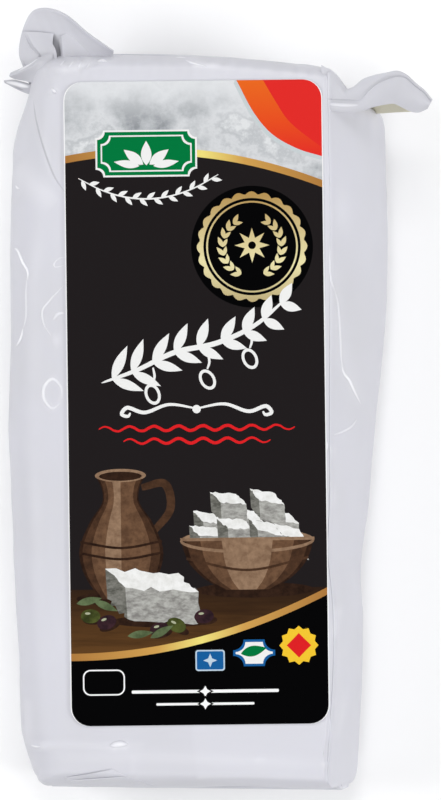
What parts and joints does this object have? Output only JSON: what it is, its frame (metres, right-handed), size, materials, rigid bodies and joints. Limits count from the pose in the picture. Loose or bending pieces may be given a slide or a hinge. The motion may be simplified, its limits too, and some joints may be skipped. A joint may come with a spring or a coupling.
{
  "type": "vacuum-packed feta block",
  "caption": "Shut vacuum pack of white cheese: a soft rectangular block in white shrink film with a folded ear at each top corner and a printed front label.",
  "frame": {"origin": "on the floor, under the middle of the pack's bounding box", "axes": "+Z out of the labelled front, +Y towards the sealed top end with the ears, +X to the label's right"},
  "size_m": [0.1242, 0.2264, 0.0467],
  "materials": {
    "film": "satin white shrink film drawn tight over the cheese, with fine creases",
    "label_print": "satin coated paper, mostly near-black print with gold lines, a pale grey top and a red corner"
  },
  "bodies": {
    "root": {"pack": "film", "label": "label_print"}
  },
  "joints": []
}
